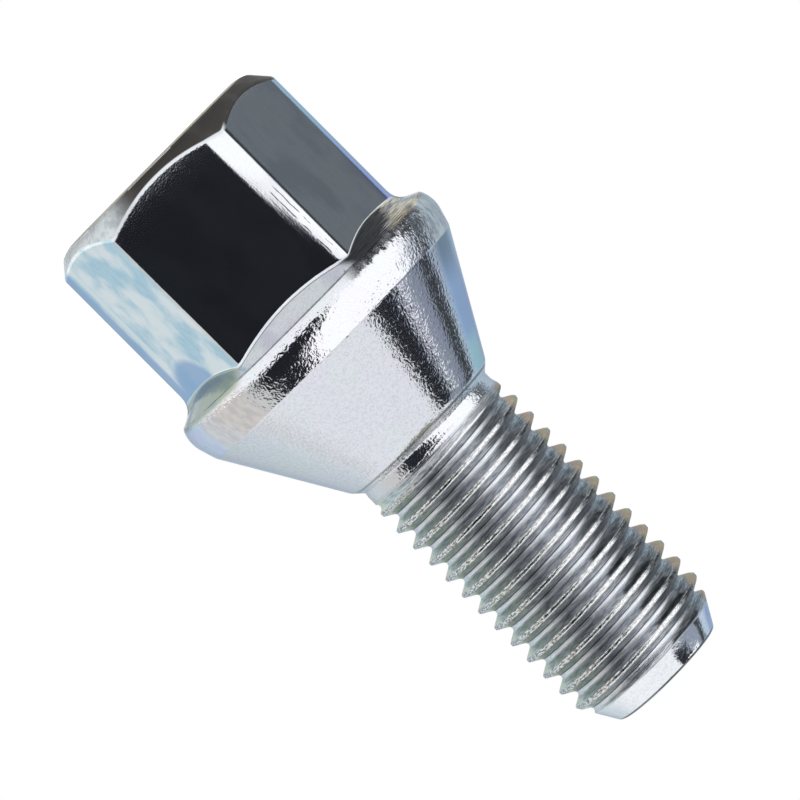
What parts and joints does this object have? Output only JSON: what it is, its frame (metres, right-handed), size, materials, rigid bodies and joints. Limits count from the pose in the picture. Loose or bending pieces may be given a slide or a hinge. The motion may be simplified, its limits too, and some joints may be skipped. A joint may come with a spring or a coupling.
{
  "type": "lug bolt",
  "caption": "Wheel lug bolt: hexagon head with a flange, conical seat, plain neck and a rolled right-hand thread with a chamfered point, zinc plated.",
  "frame": {"origin": "centre of the flat end of the head, on which the bolt stands", "axes": "+Z along the bolt's axis, from the head to the point; two flats of the hexagon face -Y and +Y"},
  "size_m": [0.0224, 0.0224, 0.0473],
  "materials": {
    "zinc_plate": "bright blue-passivated zinc plate over forged steel, lightly hammered by the dies"
  },
  "bodies": {
    "root": {"lug_bolt": "zinc_plate"}
  },
  "joints": []
}
